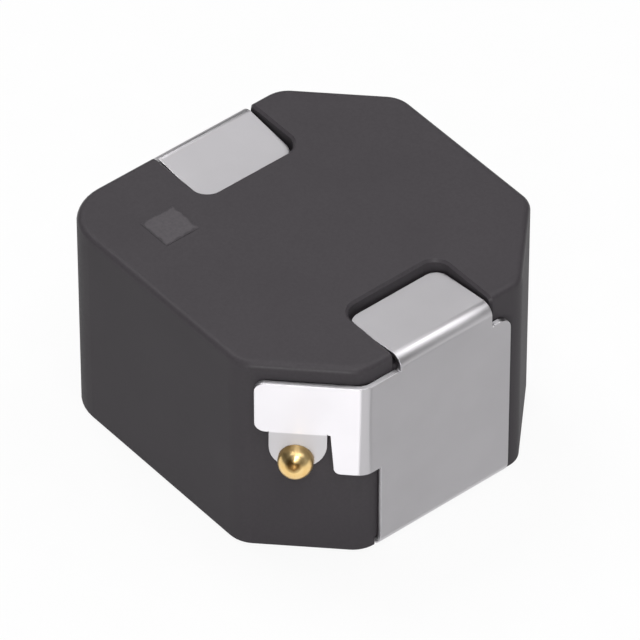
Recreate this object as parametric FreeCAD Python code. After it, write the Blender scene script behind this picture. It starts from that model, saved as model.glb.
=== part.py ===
"""Shielded surface-mount inductor, in millimetres.

A winding of round enamelled wire is pressed into a block of iron powder.
Its two ends come out through opposite cut corners, where each is welded to
a clip folded from one sheet.  A clip holds the block from above with a tab,
runs down its side as a plate, and turns under it as a solder pad.

The origin is on the board, under the middle of the block.  +Z is up, and
the two clips face +X (start) and -X (finish).
"""
import FreeCAD
import Part
import math
import os

V = FreeCAD.Vector

# The pressed block; its bare cut corner has no terminal
block_width = 12.5
block_height = 8.27
stand_off = 0.05
corner_cut = 2.93
cut_edge_radius = 1.1
bare_corner_cut = 2.85
bare_edge_radius = 0.87
plain_corner_radius = 1.8
top_edge_radius = 0.25
bottom_edge_bevel = 0.08

# The sheet that both clips are folded from, with its gaps over a floor and beside a side
sheet = 0.19
sheet_gap = 0.02
side_gap = 0.035
tab_fold_radius = 0.43
pad_fold_radius = 0.6
wing_fold_radius = 0.72
plate_inset = 0.555

# The tab that lies in the block's top pocket
shoulder_width = 0.815
shoulder_drop = 1.03
shoulder_radius = 0.5
tab_reach = 2.82
tab_drop = 0.15
tab_slope = 6.9
tab_corner_radius = 0.5
relief_width = 0.1
relief_depth = 0.04

# The solder pad under the block
pad_reach = 2.5
pad_corner_radius = 0.3

# Pockets in the block round the tab and the pad
tab_side_margin = 0.11
tab_end_margin = 0.13
tab_pocket_radius = 0.6
tab_pocket_bevel = 0.09
pad_margin = 0.08
pad_pocket_radius = 0.35

# The wing on the cut corner; sideways places are measured from the corner's middle
wing_end = 1.51
wing_drop = 0.65
wing_height = 2.155
wing_corner_radius = 0.38
leg_side = 0.99
leg_lean = 0.12
leg_height = 1.73
leg_corner_radius = 0.25
tongue_width = 1.93
tongue_slit = 0.1
tongue_length = 1.47
tongue_outer_radius = 0.86
tongue_inner_radius = 1.05
tongue_bend_radius = 0.3
tongue_lift = 4.0
tongue_root = 0.4

# The winding
wire_diameter = 1.0
coil_wall = 2.85
turn_pitch = 1.06
passes = 4
window_play = 0.05
lead_height = 4.48
lead_side = 0.13
lead_bend = 1.0
lead_step_bend = 1.0
lead_proud = 0.3
coil_step = 30
lead_step = 30

# The weld at each wire end
bead_radius = 0.6
bead_centre = 0.45
notch_play = 0.04

# The printed start mark
mark_size = 1.4
mark_thickness = 0.02
mark_x = 3.17
mark_y = 3.82

# How far a cutter runs on past the faces that it cuts
run_out = 1.0

block_top = stand_off + block_height
half_width = block_width / 2
plate_width = block_width - 2 * corner_cut - 2 * plate_inset
plate_x = half_width + side_gap + sheet
tab_width = plate_width - 2 * shoulder_width
tab_end_x = plate_x - tab_reach
fold_top = block_top - tab_drop - tab_fold_radius
corner_distance = (block_width - corner_cut) / math.sqrt(2)
wing_distance = corner_distance + side_gap + sheet
wing_top = block_top - wing_drop
wing_bottom = wing_top - wing_height
coil_radius = half_width - coil_wall
notch_radius = wire_diameter / 2 + notch_play


def rounded_outline(corners, place):
    """Closed wire through corners (a, b, radius), each rounded by a tangent arc."""
    count = len(corners)
    spans = []
    for i in range(count):
        before, here, after = corners[i - 1], corners[i], corners[(i + 1) % count]
        back = math.atan2(before[1] - here[1], before[0] - here[0])
        ahead = math.atan2(after[1] - here[1], after[0] - here[0])
        turn = abs((ahead - back + math.pi) % (2 * math.pi) - math.pi)
        reach = here[2] / math.tan(turn / 2)
        start = (here[0] + reach * math.cos(back), here[1] + reach * math.sin(back))
        end = (here[0] + reach * math.cos(ahead), here[1] + reach * math.sin(ahead))
        middle = ((start[0] + end[0]) / 2 - here[0], (start[1] + end[1]) / 2 - here[1])
        length = math.hypot(*middle)
        bulge = here[2] / math.sin(turn / 2) - here[2]
        scale = bulge / length if length > 0 else 0
        crown = (here[0] + middle[0] * scale, here[1] + middle[1] * scale)
        spans.append((place(*start), place(*crown), place(*end), here[2] > 0))
    edges = []
    for i in range(count):
        start, crown, end, is_round = spans[i]
        if is_round:
            edges.append(Part.Arc(start, crown, end).toShape())
        onward = spans[(i + 1) % count][0]
        if end.distanceToPoint(onward) > 1e-6:
            edges.append(Part.LineSegment(end, onward).toShape())
    return Part.Wire(edges)


def prism(corners, place, start, along):
    """Solid of a rounded outline, moved to start and run along a vector."""
    solid = Part.Face(rounded_outline(corners, place)).extrude(along)
    solid.translate(start)
    return solid


def in_plan(a, b):
    """A point of a plan view."""
    return V(a, b, 0)


def in_side(a, b):
    """A point of the view onto the +X side."""
    return V(0, a, b)


def folded_section(start, heading, steps, place):
    """Section of a folded sheet, from its outer face.

    The walk follows the outer face, with the sheet on its left.  A step is a
    straight run, or a fold given as its outer radius and its turn to the left;
    a turn to the right is negative, and its radius is still the outer face's.
    """
    x, y = start
    angle = math.radians(heading)
    outer = []
    inner = []

    def at(cx, cy, radius, direction):
        return place(cx + radius * math.cos(direction), cy + radius * math.sin(direction))

    for step in steps:
        side = angle + math.pi / 2
        if isinstance(step, tuple):
            radius, turn = step[0], math.radians(step[1])
            sign = 1 if turn > 0 else -1
            cx = x + sign * radius * math.cos(side)
            cy = y + sign * radius * math.sin(side)
            inner_radius = radius - sign * sheet
            first = side + math.pi if turn > 0 else side
            stops = (first, first + turn / 2, first + turn)
            outer.append(Part.Arc(*[at(cx, cy, radius, a) for a in stops]).toShape())
            inner.append(Part.Arc(*[at(cx, cy, inner_radius, a) for a in stops]).toShape())
            x = cx + radius * math.cos(stops[2])
            y = cy + radius * math.sin(stops[2])
            angle += turn
        else:
            end = (x + step * math.cos(angle), y + step * math.sin(angle))
            outer.append(Part.LineSegment(place(x, y), place(*end)).toShape())
            inner.append(Part.LineSegment(at(x, y, sheet, side), at(*end, sheet, side)).toShape())
            x, y = end
    first_cap = Part.LineSegment(inner[0].Vertexes[0].Point, outer[0].Vertexes[0].Point).toShape()
    last_side = angle + math.pi / 2
    last_cap = Part.LineSegment(place(x, y), at(x, y, sheet, last_side)).toShape()
    return Part.Face(Part.Wire(Part.__sortEdges__([first_cap] + outer + [last_cap] + inner)))


def turned_to_corner(shape):
    """Turn a shape made with +X out of the cut corner, +Y along it, to its place."""
    turned = shape.copy()
    turned.rotate(V(0, 0, 0), V(0, 0, 1), -45)
    return turned


def at_finish(shape):
    """The same piece at the finish end, half a turn away."""
    turned = shape.copy()
    turned.rotate(V(0, 0, 0), V(0, 0, 1), 180)
    return turned


def edges_where(shape, test):
    """Edges of a shape whose box passes a test."""
    return [edge for edge in shape.Edges if test(edge.BoundBox)]


def block_blank():
    """The pressed block before its pockets: three cut corners and a plain one."""
    near = half_width
    cut = half_width - corner_cut
    bare = half_width - bare_corner_cut
    plan = [
        (-near, -near, plain_corner_radius),
        (cut, -near, cut_edge_radius),
        (near, -cut, cut_edge_radius),
        (near, bare, bare_edge_radius),
        (bare, near, bare_edge_radius),
        (-cut, near, cut_edge_radius),
        (-near, cut, cut_edge_radius),
    ]
    blank = prism(plan, in_plan, V(0, 0, stand_off), V(0, 0, block_height))
    top = edges_where(blank, lambda box: box.ZMin > block_top - 1e-4)
    blank = blank.makeFillet(top_edge_radius, top)
    bottom = edges_where(blank, lambda box: box.ZMax < stand_off + 1e-4)
    return blank.makeChamfer(bottom_edge_bevel, bottom)


def tab_run():
    """Length of the tab's flat, from its fold to its end."""
    slope = math.radians(tab_slope)
    fold_x = plate_x - tab_fold_radius
    return (fold_x - tab_fold_radius * math.sin(slope) - tab_end_x) / math.cos(slope)


def tab_pocket_floor():
    """Height of the pocket floor that the tab's end rests over."""
    slope = math.radians(tab_slope)
    tab_top = fold_top + tab_fold_radius * math.cos(slope) - tab_run() * math.sin(slope)
    return tab_top - sheet * math.cos(slope) - sheet_gap


def pad_pocket_floor():
    """Height of the pocket floor that lies over the solder pad."""
    return sheet + sheet_gap


def pocket(depth_x, width, radius, low, high):
    """Cutter for a pocket that is open to the +X side."""
    outside = half_width + run_out
    plan = [
        (depth_x, -width / 2, radius),
        (outside, -width / 2, 0),
        (outside, width / 2, 0),
        (depth_x, width / 2, radius),
    ]
    return prism(plan, in_plan, V(0, 0, low), V(0, 0, high - low))


def tab_pocket():
    """Pocket in the top for the tab."""
    depth_x = tab_end_x - tab_end_margin
    width = tab_width + 2 * tab_side_margin
    return pocket(depth_x, width, tab_pocket_radius, tab_pocket_floor(), block_top + run_out)


def pad_pocket():
    """Pocket in the underside for the solder pad."""
    depth_x = plate_x - pad_reach - pad_margin
    width = plate_width + 2 * pad_margin
    return pocket(depth_x, width, pad_pocket_radius, stand_off - run_out, pad_pocket_floor())


def round_under_fold(block, floor, fold_radius):
    """Round the block where the pockets of one floor run out to a side, to clear the fold."""

    def is_pocket_mouth(box):
        at_side = abs(abs(box.XMin) - half_width) < 1e-4 and box.XLength < 1e-4
        return at_side and abs(box.ZMin - floor) < 1e-4 and box.ZLength < 1e-4

    return block.makeFillet(fold_radius - sheet - side_gap, edges_where(block, is_pocket_mouth))


def bevel_pocket_rims(block):
    """Break the top rim of each tab pocket."""
    reach_y = tab_width / 2 + tab_side_margin + 1e-4

    def is_rim(box):
        inside = max(abs(box.XMin), abs(box.XMax)) < half_width - top_edge_radius + 1e-4
        return inside and box.ZMin > block_top - 1e-4 and max(-box.YMin, box.YMax) < reach_y

    return block.makeChamfer(tab_pocket_bevel, edges_where(block, is_rim))


def lead_join_angle(side):
    """Where on the coil a lead leaves it, so that it comes out at a sideways place."""
    return math.asin((lead_bend + side) / (coil_radius + lead_bend))


def coil_sweep():
    """Angle that the coil turns through between its leads."""
    return (passes - 0.5) * 2 * math.pi - lead_join_angle(lead_side) - lead_join_angle(-lead_side)


def coil_rise():
    """Height that the coil climbs between its leads."""
    return coil_sweep() / (2 * math.pi) * turn_pitch


def coil_points():
    """Points of the coil, clockwise and upward from the start lead to the finish lead."""
    first = math.pi - lead_join_angle(lead_side)
    count = math.ceil(coil_sweep() / math.radians(coil_step))
    points = []
    for i in range(count + 1):
        angle = first - coil_sweep() * i / count
        height = lead_height - coil_rise() / 2 + coil_rise() * i / count
        points.append(V(coil_radius * math.cos(angle), coil_radius * math.sin(angle), height))
    return points


def bend_points(start, heading, towards, radius, angle):
    """Points after start round a bend, with the heading that it ends on."""
    centre = start + towards * radius
    count = math.ceil(angle / math.radians(lead_step))
    points = []
    for i in range(1, count + 1):
        a = angle * i / count
        points.append(centre - towards * radius * math.cos(a) + heading * radius * math.sin(a))
    return points, heading * math.cos(angle) + towards * math.sin(angle)


def lead_points(side, end_x):
    """Points of the upper lead: out of the coil, down to the lead height and out of the corner."""
    angle = lead_join_angle(side)
    outward = V(math.cos(angle), math.sin(angle), 0)
    start = outward * coil_radius + V(0, 0, lead_height + coil_rise() / 2)
    points, heading = bend_points(start, V(outward.y, -outward.x, 0), outward, lead_bend, math.pi / 2 - angle)
    drop = coil_rise() / 2
    dive = math.acos(max(1 - drop / (2 * lead_step_bend), 0))
    down, heading = bend_points(points[-1], heading, V(0, 0, -1), lead_step_bend, dive)
    points += down
    straight = drop - 2 * lead_step_bend * (1 - math.cos(dive))
    if straight > 1e-6:
        points.append(points[-1] + heading * straight)
    level, heading = bend_points(points[-1], heading, V(math.sin(dive), 0, math.cos(dive)), lead_step_bend, dive)
    points += level
    return points + [V(end_x, points[-1].y, lead_height)]


def turned_over(points):
    """The same points at the coil's other end, turned over about the lead height."""
    return [V(-p.x, p.y, 2 * lead_height - p.z) for p in points]


def tube(points, radius):
    """Round wire with mitred steps through points."""
    ring = Part.Wire(Part.makeCircle(radius, points[0], points[1] - points[0]))
    return Part.makePolygon(points).makePipeShell([ring], True, False, 1)


def winding():
    """The whole wire, from weld to weld."""
    end_x = corner_distance + lead_proud
    start_lead = turned_over(lead_points(lead_side, end_x))
    finish_lead = lead_points(-lead_side, end_x)
    return tube(start_lead[::-1] + coil_points() + finish_lead, wire_diameter / 2)


def winding_window():
    """Ring-shaped space in the block that the coil fills."""
    half_step = math.radians(coil_step / 2)
    radius = wire_diameter / 2
    inner = coil_radius * math.cos(half_step) - radius - window_play
    outer = coil_radius + radius / math.cos(half_step) + window_play
    height = coil_rise() + wire_diameter + 2 * window_play
    base = V(0, 0, lead_height - height / 2)
    return Part.makeCylinder(outer, height, base).cut(Part.makeCylinder(inner, height, base))


def lead_passages():
    """The two ways out of the window for the leads."""
    end_x = corner_distance + run_out
    radius = wire_diameter / 2 + window_play
    coil = coil_points()
    start_lead = turned_over(lead_points(lead_side, end_x))
    finish_lead = lead_points(-lead_side, end_x)
    return tube(coil[:1] + start_lead, radius), tube(coil[-1:] + finish_lead, radius)


def block():
    """The pressed block, with its pockets and the space that the wire fills."""
    body = block_blank()
    for cutter in (tab_pocket(), pad_pocket()):
        body = body.cut(cutter).cut(at_finish(cutter))
    body = round_under_fold(body, tab_pocket_floor(), tab_fold_radius)
    body = round_under_fold(body, pad_pocket_floor(), pad_fold_radius)
    body = bevel_pocket_rims(body)
    body = body.cut(turned_to_corner(winding_window()))
    for passage in lead_passages():
        body = body.cut(turned_to_corner(passage))
    return body


def clip_strip():
    """Pad, plate and tab as one folded strip, before its outline is cut."""
    steps = [
        pad_reach - pad_fold_radius,
        (pad_fold_radius, 90),
        fold_top - pad_fold_radius,
        (tab_fold_radius, 90 + tab_slope),
        tab_run(),
    ]
    section = folded_section((plate_x - pad_reach, 0), 0, steps, lambda a, b: V(a, -plate_width / 2, b))
    return section.extrude(V(0, plate_width, 0))


def strip_outline():
    """Prism along X that gives the strip one shoulder, the narrower tab, and room for the wing."""
    half_tab = tab_width / 2
    half_plate = plate_width / 2
    relief = half_tab + relief_width
    shoulder = block_top - shoulder_drop
    below = -run_out
    above = block_top + run_out
    corners = [
        (-half_plate, below, 0),
        (half_plate, below, 0),
        (half_plate, shoulder, shoulder_radius),
        (relief, shoulder, 0),
        (relief, shoulder - relief_depth, 0),
        (half_tab, shoulder - relief_depth, 0),
        (half_tab, above, 0),
        (-half_tab, above, 0),
        (-half_tab, wing_top - relief_depth, 0),
        (-relief, wing_top - relief_depth, 0),
        (-relief, wing_bottom, 0),
        (-half_plate, wing_bottom, 0),
    ]
    return prism(corners, in_side, V(0, 0, 0), V(plate_x + run_out, 0, 0))


def round_free_end(shape, end_x, width, radius, is_upper):
    """Round the two corners of the strip's free end, in its upper or its lower half."""

    def is_corner(box):
        at_end = abs(box.XMin - end_x) < sheet / 2 and box.XLength < sheet / 2
        at_side = abs(max(-box.YMin, box.YMax) - width / 2) < 1e-4 and box.YLength < 1e-4
        return at_end and at_side and (box.ZMin > block_top / 2) == is_upper

    return shape.makeFillet(radius, edges_where(shape, is_corner))


def wing_strip():
    """Plate and wing as one strip, folded round the block's corner, before its outline is cut."""
    corner_y = plate_x - wing_distance * math.sqrt(2)
    corner_along = (plate_x + corner_y) / math.sqrt(2)
    tangent = wing_fold_radius * math.tan(math.radians(22.5))
    start = (
        (wing_distance - wing_end) / math.sqrt(2),
        (-wing_distance - wing_end) / math.sqrt(2),
    )
    overlap_end = -tab_width / 2 - relief_width
    steps = [
        wing_end + corner_along - tangent,
        (wing_fold_radius, 45),
        overlap_end - corner_y - tangent,
    ]
    section = folded_section(start, 45, steps, in_plan)
    section.translate(V(0, 0, wing_bottom - leg_height))
    return section.extrude(V(0, 0, wing_height + leg_height))


def corner_prism(corners):
    """Prism out of the block through the cut corner, from an outline along it and up it."""
    return turned_to_corner(prism(corners, in_side, V(0, 0, 0), V(block_width, 0, 0)))


def wing_outline():
    """Prism of the wing and its leg, which runs on past the fold on the leg's side."""
    beyond = half_width
    leg_bottom = wing_bottom - leg_height
    corners = [
        (-wing_end, wing_bottom, wing_corner_radius),
        (leg_side, wing_bottom, 0),
        (leg_side + leg_lean, leg_bottom, leg_corner_radius),
        (beyond, leg_bottom, 0),
        (beyond, wing_top, 0),
        (-wing_end, wing_top, wing_corner_radius),
    ]
    return corner_prism(corners)


def tongue():
    """Tongue below the wing, bent slightly outward over the wire, with its notch."""
    lift = math.radians(tongue_lift)
    tangent = tongue_bend_radius * math.tan(lift / 2)
    low_side = leg_side - tongue_slit - tongue_width
    high_side = leg_side - tongue_slit
    tip_x = wing_distance + tongue_length * math.sin(lift)
    tip_z = wing_bottom - tongue_length * math.cos(lift)
    steps = [
        tongue_length - tangent,
        (tongue_bend_radius, -tongue_lift),
        tongue_root,
    ]
    section = folded_section((tip_x, tip_z), 90 + tongue_lift, steps, lambda a, b: V(a, low_side, b))
    strip = turned_to_corner(section.extrude(V(0, tongue_width, 0)))
    outline = [
        (low_side, wing_top, 0),
        (low_side, tip_z, tongue_outer_radius),
        (high_side, tip_z, tongue_inner_radius),
        (high_side, wing_top, 0),
    ]
    notch = [
        (-lead_side - notch_radius, lead_height + notch_radius, notch_radius),
        (-lead_side - notch_radius, tip_z - run_out, 0),
        (-lead_side + notch_radius, tip_z - run_out, 0),
        (-lead_side + notch_radius, lead_height + notch_radius, notch_radius),
    ]
    return strip.common(corner_prism(outline)).cut(corner_prism(notch))


def clip():
    """One terminal clip, at the start end."""
    strip = clip_strip().common(strip_outline())
    strip = round_free_end(strip, tab_end_x, tab_width, tab_corner_radius, True)
    strip = round_free_end(strip, plate_x - pad_reach, plate_width, pad_corner_radius, False)
    wing = wing_strip().common(wing_outline())
    return strip.fuse(wing).fuse(tongue()).removeSplitter()


def bead():
    """Weld at the start end: a ball on the tongue, with a neck that fills the notch."""
    foot = corner_distance + side_gap
    axis_y = -lead_side
    centre_x = corner_distance + bead_centre
    ball = Part.makeSphere(bead_radius, V(centre_x, axis_y, lead_height))
    neck = Part.makeCylinder(notch_radius, centre_x - foot, V(foot, axis_y, lead_height), V(1, 0, 0))
    return turned_to_corner(ball.fuse(neck).removeSplitter())


def start_mark():
    """Printed square near the plain corner."""
    corner = V(-mark_x - mark_size / 2, -mark_y - mark_size / 2, block_top)
    return Part.makeBox(mark_size, mark_size, mark_thickness, corner)


def build():
    """All the pieces by name."""
    coil = turned_to_corner(winding())
    start_clip = clip()
    finish_clip = at_finish(start_clip)
    start_bead = bead().cut(start_clip).cut(coil)
    finish_bead = at_finish(bead()).cut(finish_clip).cut(coil)
    return {
        "moulded_body": block(),
        "winding": coil,
        "terminal_clip_start": start_clip,
        "terminal_clip_finish": finish_clip,
        "weld_bead_start": start_bead,
        "weld_bead_finish": finish_bead,
        "start_mark": start_mark(),
    }


os.makedirs("parts", exist_ok=True)
for name, shape in build().items():
    shape.exportStep(os.path.join("parts", name + ".step"))
    print(name, "volume", round(shape.Volume, 4), "solids", len(shape.Solids), "valid", shape.isValid())
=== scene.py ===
"""Shielded surface-mount inductor on a white table, seen from above its start corner.

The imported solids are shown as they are.  This script gives them their real
finishes, breaks the sharp edges of the stamped clips and of the printed mark,
and sets the table, the lights and the camera.
"""
import bpy
import math
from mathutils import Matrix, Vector

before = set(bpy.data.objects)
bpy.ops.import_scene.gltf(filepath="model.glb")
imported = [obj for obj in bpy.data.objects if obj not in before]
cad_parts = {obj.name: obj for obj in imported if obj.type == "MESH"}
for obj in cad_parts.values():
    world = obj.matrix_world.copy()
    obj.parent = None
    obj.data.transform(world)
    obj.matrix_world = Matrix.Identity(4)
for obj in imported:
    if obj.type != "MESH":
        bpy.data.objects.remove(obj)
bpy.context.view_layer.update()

MM = 0.001

# Camera, in millimetres: found from the block's outline in the photograph
camera_place = (151.484, -125.233, 188.734)
camera_back = (0.56174, -0.46433, 0.68472)
focal_length = 454.97
sensor_width = 36.0
nearest_seen = 10.0
farthest_seen = 10000.0

# Softboxes, all aimed at the middle of the part: azimuth from +X towards +Y and
# elevation in degrees, distance, width and height in millimetres, power in watts
lamps = {
    "overhead": (120, 80, 300, 260, 260, 0.22),
    "back_high": (68, 59, 300, 180, 180, 0.25),
    "left_high": (180, 62, 300, 130, 130, 0.49),
    "front": (-48, 10, 320, 110, 100, 0.4),
    "front_right": (-10, 12, 320, 110, 100, 0.03),
    "right_low": (34, 18, 320, 180, 110, 0.02),
    "camera_high": (-42, 50, 300, 75, 75, 0.19),
    "right_high": (-15, 65, 300, 50, 50, 0.14),
}
part_middle = (0.0, 0.0, 4.0)
sky_strength = 0.08

# Table and its paper, in millimetres, and the share of the real shadow that the camera is shown
table_size = 1400.0
pulp_size = 1.5
shadow_share = 0.08

# Pressed powder, whose grains and colours also show through the ink: lengths in millimetres
grain_size = 0.11
grain_depth = 0.004
grain_relief = 0.2
cloud_size = 2.6
cloud_share = 0.25
powder_dark = "#3C393C"
powder_light = "#403D40"
powder_smooth = 0.56
powder_rough = 0.64
powder_gloss = 0.13
rim_roughness = 0.34

# Rims of the block, by how much its surface faces up, from 0 on a side to 1 on the top
side_ends = 0.1
rim_begins = 0.3
rim_ends = 0.85
top_begins = 0.97

# Start mark, in millimetres: its middle on the block's top, half its side, and how far
# the worn print draws back from the border and fades
mark_place = (-3.17, -3.82, 8.28)
mark_half = 0.7
mark_wear = 0.09
mark_fade = 0.06
mark_rag = 0.28

# Weld beads, in millimetres: the middle of the start bead, the way that its painted dark reflection faces,
# and the way that the clear gap in that painted dark faces, where the highlight shows
bead_radius = 0.6
bead_place = (5.011, -5.195, 4.48)
painted_reflection_way = (0.574, -0.63, 0.518)
reflection_gap_way = (0.5, -0.296, 0.814)
bead_tone_size = 0.45
bead_smooth = 0.28
bead_rough = 0.34
ripple_size = 0.25
ripple_depth = 0.01
ripple_relief = 0.15

# The beads' painted dark reflection: its strength, and as shares of the radius along those two ways, where
# the painted dark begins and is full, and where the clear gap begins and is clear
painted_reflection_share = 0.9
reflection_begins = 0.85
reflection_full = 0.95
gap_begins = 0.92
gap_clear = 0.975

# Winding: how far apart its tones lie, in millimetres, and how smooth wire and enamel are
wire_tone_size = 0.9
wire_smooth = 0.25
wire_rough = 0.32
enamel_roughness = 0.06
enamel_ior = 1.6

# Broken edges, in millimetres and degrees
clip_break = 0.05
ink_break = 0.018
break_steps = 3
facet_gap = 1e-4
flat_turn = 1.0
sharp_turn = 40.0

# Ways on the start clip's cut corner: out of it, along it and up
corner_out = (math.sqrt(0.5), -math.sqrt(0.5), 0.0)
corner_along = (math.sqrt(0.5), math.sqrt(0.5), 0.0)
up = (0.0, 0.0, 1.0)
plate_out = (1.0, 0.0, 0.0)

# The tongue under each wing, where the weld's heating dulled the tin and where its tin is painted a little
# darker as painted shade,
# in millimetres: its top, its side along the corner, its distance from the part's axis, and the width of the
# soft edge
tongue_top = 5.515
tongue_side = 0.94
tongue_distance = 6.6
tongue_blur = 0.06

# Tin: cosines of a face's turn from the nearest flat side, about 14 and 10 degrees,
# between which a fold ends and a flat begins; its roughness on each; its rolling lines
fold_ends = 0.97
flat_begins = 0.985
flat_roughness = 0.51
fold_roughness = 0.32
tongue_roughness = 0.6
rolling_spread = 0.93
rolling_way = (0.0, 1.0, 0.0)

# Tin: its crystals and its haze, in millimetres
crystal_size = 0.08
crystal_depth = 0.002
crystal_relief = 0.1
haze_size = 1.8

# The range in which a noise's values mostly lie
noise_span = {"From Min": 0.3, "From Max": 0.7}


def linear(hex_colour):
    """Linear RGBA of an sRGB hex colour."""
    channels = [int(hex_colour[i : i + 2], 16) / 255 for i in (1, 3, 5)]
    return tuple(c / 12.92 if c <= 0.04045 else ((c + 0.055) / 1.055) ** 2.4 for c in channels) + (1.0,)


def per_metre(size):
    """Texture scale whose features are a size in millimetres apart."""
    return 1 / (size * MM)


def in_metres(lengths):
    """A place given in millimetres, in metres."""
    return tuple(length * MM for length in lengths)


def add(tree, kind, inputs, output=None, **settings):
    """Add a node, set its properties, set or link its inputs, and give the node or one of its outputs."""
    node = tree.nodes.new(kind)
    for name, value in settings.items():
        setattr(node, name, value)
    for name, value in inputs.items():
        if isinstance(value, bpy.types.NodeSocket):
            tree.links.new(value, node.inputs[name])
        else:
            node.inputs[name].default_value = value
    return node if output is None else node.outputs[output]


def new_material(name):
    """Empty node material, its tree and object coordinates."""
    material = bpy.data.materials.new(name)
    material.use_nodes = True
    tree = material.node_tree
    tree.nodes.clear()
    return material, tree, add(tree, "ShaderNodeTexCoord", {}, "Object")


def powder_grain(tree, place):
    """Grains of the pressed powder: their noise, their roughness, and the normal that they give.

    The finest of the real grains can't be seen at this size, so all are drawn as
    large as the largest.
    """
    grain = add(
        tree,
        "ShaderNodeTexNoise",
        {"Vector": place, "Scale": per_metre(grain_size), "Detail": 1.0},
        "Fac",
    )
    roughness = add(
        tree,
        "ShaderNodeMapRange",
        {"Value": grain, **noise_span, "To Min": powder_smooth, "To Max": powder_rough},
        "Result",
    )
    normal = add(
        tree,
        "ShaderNodeBump",
        {"Strength": grain_relief, "Distance": grain_depth * MM, "Height": grain},
        "Normal",
    )
    return grain, roughness, normal


def pressed_powder():
    """Iron powder coated with resin, pressed in a steel die and baked.

    Close-grained charcoal with a low satin sheen: the grains, about 0.1 mm,
    give a faint speckle and take the sharpness off every reflection.  The
    rounded rims rub along the die as the block is pushed out, so they are
    smoother and carry a thin soft highlight.
    """
    material, tree, place = new_material("pressed_iron_powder")
    grain, roughness, normal = powder_grain(tree, place)
    cloud = add(
        tree,
        "ShaderNodeTexNoise",
        {"Vector": place, "Scale": per_metre(cloud_size), "Detail": 3.0},
        "Fac",
    )
    cloud = add(
        tree,
        "ShaderNodeMapRange",
        {"Value": cloud, **noise_span, "To Max": cloud_share},
        "Result",
    )
    speckle = add(tree, "ShaderNodeMapRange", {"Value": grain, **noise_span}, "Result")
    colour = add(
        tree,
        "ShaderNodeMix",
        {0: speckle, 6: linear(powder_dark), 7: linear(powder_light)},
        2,
        data_type="RGBA",
    )
    colour = add(tree, "ShaderNodeMix", {0: cloud, 6: colour, 7: linear("#363336")}, 2, data_type="RGBA")

    # A rim is where the surface faces neither sideways nor up
    face = add(tree, "ShaderNodeNewGeometry", {}, "Normal")
    rise = add(tree, "ShaderNodeVectorMath", {0: face, 1: up}, "Value", operation="DOT_PRODUCT")
    past_side = add(
        tree,
        "ShaderNodeMapRange",
        {"Value": rise, "From Min": side_ends, "From Max": rim_begins},
        "Result",
    )
    below_top = add(
        tree,
        "ShaderNodeMapRange",
        {"Value": rise, "From Min": rim_ends, "From Max": top_begins, "To Min": 1.0, "To Max": 0.0},
        "Result",
    )
    rim = add(tree, "ShaderNodeMath", {0: past_side, 1: below_top}, 0, operation="MULTIPLY")
    roughness = add(
        tree,
        "ShaderNodeMapRange",
        {"Value": rim, "To Min": roughness, "To Max": rim_roughness},
        "Result",
    )
    surface = add(
        tree,
        "ShaderNodeBsdfPrincipled",
        {"Base Color": colour, "Roughness": roughness, "Specular IOR Level": powder_gloss, "Normal": normal},
        "BSDF",
    )
    add(tree, "ShaderNodeOutputMaterial", {"Surface": surface})
    return material


def tongue_heat_and_shade(tree, place):
    """Share of the tongue at a point of a clip, all of it on the tongue and none elsewhere: there the weld's
    heating dulled the tin, and its tin is painted darker as painted shade.
    """
    out = add(tree, "ShaderNodeVectorMath", {0: place, 1: corner_out}, "Value", operation="DOT_PRODUCT")
    along = add(tree, "ShaderNodeVectorMath", {0: place, 1: corner_along}, "Value", operation="DOT_PRODUCT")
    height = add(tree, "ShaderNodeVectorMath", {0: place, 1: up}, "Value", operation="DOT_PRODUCT")
    end = add(tree, "ShaderNodeMath", {0: out}, 0, operation="SIGN")
    along = add(tree, "ShaderNodeMath", {0: along, 1: end}, 0, operation="MULTIPLY")
    out = add(tree, "ShaderNodeMath", {0: out}, 0, operation="ABSOLUTE")
    soft = tongue_blur / 2
    below = add(
        tree,
        "ShaderNodeMapRange",
        {
            "Value": height,
            "From Min": (tongue_top - soft) * MM,
            "From Max": (tongue_top + soft) * MM,
            "To Min": 1.0,
            "To Max": 0.0,
        },
        "Result",
    )
    beside = add(
        tree,
        "ShaderNodeMapRange",
        {
            "Value": along,
            "From Min": (tongue_side - soft) * MM,
            "From Max": (tongue_side + soft) * MM,
            "To Min": 1.0,
            "To Max": 0.0,
        },
        "Result",
    )
    outside = add(
        tree,
        "ShaderNodeMapRange",
        {
            "Value": out,
            "From Min": tongue_distance * MM,
            "From Max": (tongue_distance + soft) * MM,
        },
        "Result",
    )
    share = add(tree, "ShaderNodeMath", {0: below, 1: beside}, 0, operation="MULTIPLY")
    return add(tree, "ShaderNodeMath", {0: share, 1: outside}, 0, operation="MULTIPLY")


def fold_wear(tree, face):
    """Share of die burnish: all of it on the folds and sheared edges, none on the flats."""
    nearest = 0.0
    for flat in (up, plate_out, corner_out):
        turn = add(tree, "ShaderNodeVectorMath", {0: face, 1: flat}, "Value", operation="DOT_PRODUCT")
        turn = add(tree, "ShaderNodeMath", {0: turn}, 0, operation="ABSOLUTE")
        nearest = add(tree, "ShaderNodeMath", {0: turn, 1: nearest}, 0, operation="MAXIMUM")
    return add(
        tree,
        "ShaderNodeMapRange",
        {"Value": nearest, "From Min": fold_ends, "From Max": flat_begins, "To Min": 1.0, "To Max": 0.0},
        "Result",
    )


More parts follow.
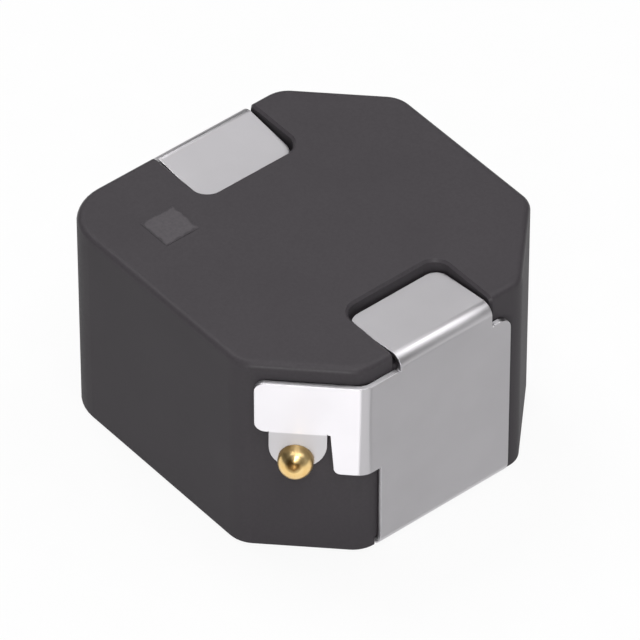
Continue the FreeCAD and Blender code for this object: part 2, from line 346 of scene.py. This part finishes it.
def tinned_sheet():
    """Copper alloy strip, rolled, matte tin plated, then stamped and folded.

    Matte tin is pale and soft and mirrors no shapes.  The rolling lines under it
    spread each reflection up and down a side, so a side that faces a lamp turns
    white as a whole while its neighbour stays mid grey.  The die burnished the
    folds and the sheared edges, so they are smoother and carry a bright line.
    The weld's heating melted the tin on the tongue, which set again a little
    duller, and the tongue's tin is painted a little darker as painted shade.
    The real crystals are under 0.01 mm, so they are drawn coarser to show at all.
    """
    material, tree, place = new_material("matte_tin_plate")
    crystal = add(
        tree,
        "ShaderNodeTexNoise",
        {"Vector": place, "Scale": per_metre(crystal_size), "Detail": 1.0},
        "Fac",
    )
    haze = add(
        tree,
        "ShaderNodeTexNoise",
        {"Vector": place, "Scale": per_metre(haze_size), "Detail": 2.0},
        "Fac",
    )
    haze = add(tree, "ShaderNodeMapRange", {"Value": haze, **noise_span}, "Result")
    heat_and_shade = tongue_heat_and_shade(tree, place)
    cool = add(
        tree,
        "ShaderNodeMix",
        {0: haze, 6: linear("#C5C3C6"), 7: linear("#C9C7CA")},
        2,
        data_type="RGBA",
    )
    # Darker tin on the tongue: painted shade.
    colour = add(tree, "ShaderNodeMix", {0: heat_and_shade, 6: cool, 7: linear("#BAB8BA")}, 2, data_type="RGBA")
    bump = add(
        tree,
        "ShaderNodeBump",
        {"Strength": crystal_relief, "Distance": crystal_depth * MM, "Height": crystal},
        "Normal",
    )
    face = add(tree, "ShaderNodeNewGeometry", {}, "Normal")
    roughness = add(
        tree,
        "ShaderNodeMapRange",
        {"Value": fold_wear(tree, face), "To Min": flat_roughness, "To Max": fold_roughness},
        "Result",
    )
    roughness = add(
        tree,
        "ShaderNodeMapRange",
        {"Value": heat_and_shade, "To Min": roughness, "To Max": tongue_roughness},
        "Result",
    )
    lines = add(
        tree,
        "ShaderNodeVectorMath",
        {0: face, 1: rolling_way},
        "Vector",
        operation="CROSS_PRODUCT",
    )
    surface = add(
        tree,
        "ShaderNodeBsdfPrincipled",
        {
            "Base Color": colour,
            "Metallic": 1.0,
            "Roughness": roughness,
            "Anisotropic": rolling_spread,
            "Tangent": lines,
            "Normal": bump,
        },
        "BSDF",
    )
    add(tree, "ShaderNodeOutputMaterial", {"Surface": surface})
    return material


def painted_bead_reflection(tree, place):
    """Share of painted dark reflection at a point of a bead: a soft brown crescent at its front, the same on
    both beads.
    """
    out = add(tree, "ShaderNodeVectorMath", {0: place, 1: corner_out}, "Value", operation="DOT_PRODUCT")
    end = add(tree, "ShaderNodeMath", {0: out}, 0, operation="SIGN")
    turn = add(tree, "ShaderNodeCombineXYZ", {"X": end, "Y": end, "Z": 1.0}, "Vector")
    place = add(tree, "ShaderNodeVectorMath", {0: place, 1: turn}, "Vector", operation="MULTIPLY")
    place = add(
        tree,
        "ShaderNodeVectorMath",
        {0: place, 1: in_metres(bead_place)},
        "Vector",
        operation="SUBTRACT",
    )
    radius = bead_radius * MM
    spot_way = Vector(painted_reflection_way).normalized()
    core_way = Vector(reflection_gap_way).normalized()
    spot = add(tree, "ShaderNodeVectorMath", {0: place, 1: spot_way}, "Value", operation="DOT_PRODUCT")
    spot = add(
        tree,
        "ShaderNodeMapRange",
        {
            "Value": spot,
            "From Min": reflection_begins * radius,
            "From Max": reflection_full * radius,
            "To Max": painted_reflection_share,
        },
        "Result",
    )
    core = add(tree, "ShaderNodeVectorMath", {0: place, 1: core_way}, "Value", operation="DOT_PRODUCT")
    around_core = add(
        tree,
        "ShaderNodeMapRange",
        {
            "Value": core,
            "From Min": gap_begins * radius,
            "From Max": gap_clear * radius,
            "To Min": 1.0,
            "To Max": 0.0,
        },
        "Result",
    )
    return add(tree, "ShaderNodeMath", {0: spot, 1: around_core}, 0, operation="MULTIPLY")


def weld_bronze():
    """Wire end and brazing alloy melted together into a ball that set in air.

    It froze as a smooth drop, so it is the one shiny thing here: pale gold,
    with a brown crescent of painted dark reflection at its front, round a clear
    spot where the highlight shows, and a very slight ripple.
    """
    material, tree, place = new_material("weld_bronze")
    tone = add(
        tree,
        "ShaderNodeTexNoise",
        {"Vector": place, "Scale": per_metre(bead_tone_size), "Detail": 2.0},
        "Fac",
    )
    ripple = add(
        tree,
        "ShaderNodeTexNoise",
        {"Vector": place, "Scale": per_metre(ripple_size), "Detail": 1.0},
        "Fac",
    )
    mottle = add(tree, "ShaderNodeMapRange", {"Value": tone, **noise_span}, "Result")
    gold = add(
        tree,
        "ShaderNodeMix",
        {0: mottle, 6: linear("#F4CC84"), 7: linear("#FFE0A2")},
        2,
        data_type="RGBA",
    )
    # The brown crescent is painted dark reflection, not a colour of the metal.
    colour = add(
        tree,
        "ShaderNodeMix",
        {0: painted_bead_reflection(tree, place), 6: gold, 7: linear("#654315")},
        2,
        data_type="RGBA",
    )
    roughness = add(
        tree,
        "ShaderNodeMapRange",
        {"Value": tone, **noise_span, "To Min": bead_smooth, "To Max": bead_rough},
        "Result",
    )
    bump = add(
        tree,
        "ShaderNodeBump",
        {"Strength": ripple_relief, "Distance": ripple_depth * MM, "Height": ripple},
        "Normal",
    )
    surface = add(
        tree,
        "ShaderNodeBsdfPrincipled",
        {"Base Color": colour, "Metallic": 1.0, "Roughness": roughness, "Normal": bump},
        "BSDF",
    )
    add(tree, "ShaderNodeOutputMaterial", {"Surface": surface})
    return material


def enamelled_copper():
    """Drawn copper wire under baked clear enamel.

    Bright copper deepened to amber by the enamel, whose own surface adds a
    clear gloss over the soft shine of the wire.
    """
    material, tree, place = new_material("enamelled_copper_wire")
    tone = add(
        tree,
        "ShaderNodeTexNoise",
        {"Vector": place, "Scale": per_metre(wire_tone_size), "Detail": 2.0},
        "Fac",
    )
    amber = add(tree, "ShaderNodeMapRange", {"Value": tone, **noise_span}, "Result")
    colour = add(
        tree,
        "ShaderNodeMix",
        {0: amber, 6: linear("#B5652F"), 7: linear("#C97B3F")},
        2,
        data_type="RGBA",
    )
    roughness = add(
        tree,
        "ShaderNodeMapRange",
        {"Value": tone, **noise_span, "To Min": wire_smooth, "To Max": wire_rough},
        "Result",
    )
    surface = add(
        tree,
        "ShaderNodeBsdfPrincipled",
        {
            "Base Color": colour,
            "Metallic": 1.0,
            "Roughness": roughness,
            "Coat Weight": 1.0,
            "Coat Roughness": enamel_roughness,
            "Coat IOR": enamel_ior,
        },
        "BSDF",
    )
    add(tree, "ShaderNodeOutputMaterial", {"Surface": surface})
    return material


def mark_ink():
    """Pale grey epoxy ink, pad printed thinly on the pressed block.

    So thin that the block's own grain shows through, and worn at its border,
    so it reads as a slightly lighter patch with a soft, ragged outline.
    """
    material, tree, place = new_material("pad_printed_ink")
    grain, roughness, normal = powder_grain(tree, place)
    rag = add(
        tree,
        "ShaderNodeTexNoise",
        {"Vector": place, "Scale": per_metre(mark_rag), "Detail": 2.0},
        "Fac",
    )
    rag = add(tree, "ShaderNodeMapRange", {"Value": rag, **noise_span, "To Max": mark_wear * MM}, "Result")
    offset = add(
        tree,
        "ShaderNodeVectorMath",
        {0: place, 1: in_metres(mark_place)},
        "Vector",
        operation="SUBTRACT",
    )
    offset = add(tree, "ShaderNodeVectorMath", {0: offset}, "Vector", operation="ABSOLUTE")
    sides = add(tree, "ShaderNodeSeparateXYZ", {"Vector": offset}).outputs
    reach = add(tree, "ShaderNodeMath", {0: sides["X"], 1: sides["Y"]}, 0, operation="MAXIMUM")
    reach = add(tree, "ShaderNodeMath", {0: reach, 1: rag}, 0, operation="ADD")
    printed = add(
        tree,
        "ShaderNodeMapRange",
        {
            "Value": reach,
            "From Min": (mark_half - mark_fade) * MM,
            "From Max": mark_half * MM,
            "To Min": 1.0,
            "To Max": 0.0,
        },
        "Result",
    )
    speckle = add(tree, "ShaderNodeMapRange", {"Value": grain, **noise_span}, "Result")
    ink = add(
        tree,
        "ShaderNodeMix",
        {0: speckle, 6: linear("#4A474A"), 7: linear("#504D50")},
        2,
        data_type="RGBA",
    )
    block = add(
        tree,
        "ShaderNodeMix",
        {0: speckle, 6: linear(powder_dark), 7: linear(powder_light)},
        2,
        data_type="RGBA",
    )
    colour = add(tree, "ShaderNodeMix", {0: printed, 6: block, 7: ink}, 2, data_type="RGBA")
    surface = add(
        tree,
        "ShaderNodeBsdfPrincipled",
        {"Base Color": colour, "Roughness": roughness, "Specular IOR Level": powder_gloss, "Normal": normal},
        "BSDF",
    )
    add(tree, "ShaderNodeOutputMaterial", {"Surface": surface})
    return material


def white_table():
    """White paper, rolled and uncoated.

    Plain white to the camera and in reflections, with a share of the real
    shadow left in.  Its pulp gives it a faint unevenness that takes the hardness
    off the shadow.
    """
    material, tree, place = new_material("white_paper")
    ray = add(tree, "ShaderNodeLightPath", {}).outputs
    seen = add(
        tree,
        "ShaderNodeMath",
        {0: ray["Is Camera Ray"], 1: ray["Is Glossy Ray"]},
        0,
        operation="MAXIMUM",
    )
    seen = add(tree, "ShaderNodeMath", {0: seen, 1: ray["Is Transmission Ray"]}, 0, operation="MAXIMUM")
    white_share = add(tree, "ShaderNodeMath", {0: seen, 1: 1 - shadow_share}, 0, operation="MULTIPLY")
    pulp = add(
        tree,
        "ShaderNodeTexNoise",
        {"Vector": place, "Scale": per_metre(pulp_size), "Detail": 3.0},
        "Fac",
    )
    pulp = add(tree, "ShaderNodeMapRange", {"Value": pulp, **noise_span}, "Result")
    tone = add(
        tree,
        "ShaderNodeMix",
        {0: pulp, 6: linear("#D5D5D5"), 7: linear("#DBDBDB")},
        2,
        data_type="RGBA",
    )
    paper = add(tree, "ShaderNodeBsdfDiffuse", {"Color": tone}, "BSDF")
    white = add(tree, "ShaderNodeEmission", {"Color": linear("#FFFFFF"), "Strength": 1.0}, "Emission")
    surface = add(tree, "ShaderNodeMixShader", {0: white_share, 1: paper, 2: white}, 0)
    add(tree, "ShaderNodeOutputMaterial", {"Surface": surface})
    return material


def dress(node, material):
    """Give every slot of a CAD node its finish."""
    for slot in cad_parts[node].material_slots:
        slot.material = material


def break_edges(node, width):
    """Round the sharp edges of a piece: the die leaves a stamped one so, and thin ink dries so."""
    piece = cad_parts[node]
    weld = piece.modifiers.new("join_facets", "WELD")
    weld.merge_threshold = facet_gap * MM
    flat = piece.modifiers.new("merge_flats", "DECIMATE")
    flat.decimate_type = "DISSOLVE"
    flat.angle_limit = math.radians(flat_turn)
    bevel = piece.modifiers.new("edge_break", "BEVEL")
    bevel.width = width * MM
    bevel.segments = break_steps
    bevel.limit_method = "ANGLE"
    bevel.angle_limit = math.radians(sharp_turn)
    bevel.use_clamp_overlap = True
    shading = piece.modifiers.new("flat_sides_stay_flat", "WEIGHTED_NORMAL")
    shading.mode = "FACE_AREA"
    shading.weight = 100
    shading.keep_sharp = False


def table():
    """The sheet of paper that the part stands on."""
    half = table_size / 2 * MM
    corners = [(-half, -half, 0), (half, -half, 0), (half, half, 0), (-half, half, 0)]
    mesh = bpy.data.meshes.new("table")
    mesh.from_pydata(corners, [], [(0, 1, 2, 3)])
    mesh.materials.append(white_table())
    piece = bpy.data.objects.new("table", mesh)
    bpy.context.scene.collection.objects.link(piece)


def softbox(name, azimuth, elevation, distance, width, height, power):
    """Area light aimed at the middle of the part; lengths in millimetres."""
    lamp = bpy.data.lights.new(name, "AREA")
    lamp.shape = "RECTANGLE"
    lamp.size = width * MM
    lamp.size_y = height * MM
    lamp.energy = power
    piece = bpy.data.objects.new(name, lamp)
    turn = math.radians(azimuth)
    rise = math.radians(elevation)
    out = Vector((math.cos(turn) * math.cos(rise), math.sin(turn) * math.cos(rise), math.sin(rise)))
    piece.location = out * distance * MM + Vector(in_metres(part_middle))
    piece.rotation_mode = "QUATERNION"
    piece.rotation_quaternion = out.to_track_quat("Z", "Y")
    bpy.context.scene.collection.objects.link(piece)


def studio():
    """Soft white light from above and behind, with low softboxes at the camera's side."""
    world = bpy.data.worlds.new("studio")
    bpy.context.scene.world = world
    world.use_nodes = True
    tree = world.node_tree
    tree.nodes.clear()
    sky = add(tree, "ShaderNodeBackground", {"Color": linear("#FFFFFF"), "Strength": sky_strength}, 0)
    add(tree, "ShaderNodeOutputWorld", {"Surface": sky})
    for name, lamp in lamps.items():
        softbox(name, *lamp)


def camera():
    """Long lens at the photograph's place."""
    lens = bpy.data.cameras.new("camera")
    lens.lens = focal_length
    lens.sensor_width = sensor_width
    lens.clip_start = nearest_seen * MM
    lens.clip_end = farthest_seen * MM
    piece = bpy.data.objects.new("camera", lens)
    piece.location = in_metres(camera_place)
    piece.rotation_mode = "QUATERNION"
    piece.rotation_quaternion = Vector(camera_back).to_track_quat("Z", "Y")
    bpy.context.scene.collection.objects.link(piece)
    bpy.context.scene.camera = piece


powder = pressed_powder()
tin = tinned_sheet()
bronze = weld_bronze()
dress("moulded_body", powder)
dress("winding", enamelled_copper())
dress("start_mark", mark_ink())
for end in ("start", "finish"):
    dress("terminal_clip_" + end, tin)
    dress("weld_bead_" + end, bronze)
    break_edges("terminal_clip_" + end, clip_break)
break_edges("start_mark", ink_break)

table()
studio()
camera()
bpy.context.scene.view_settings.view_transform = "Standard"
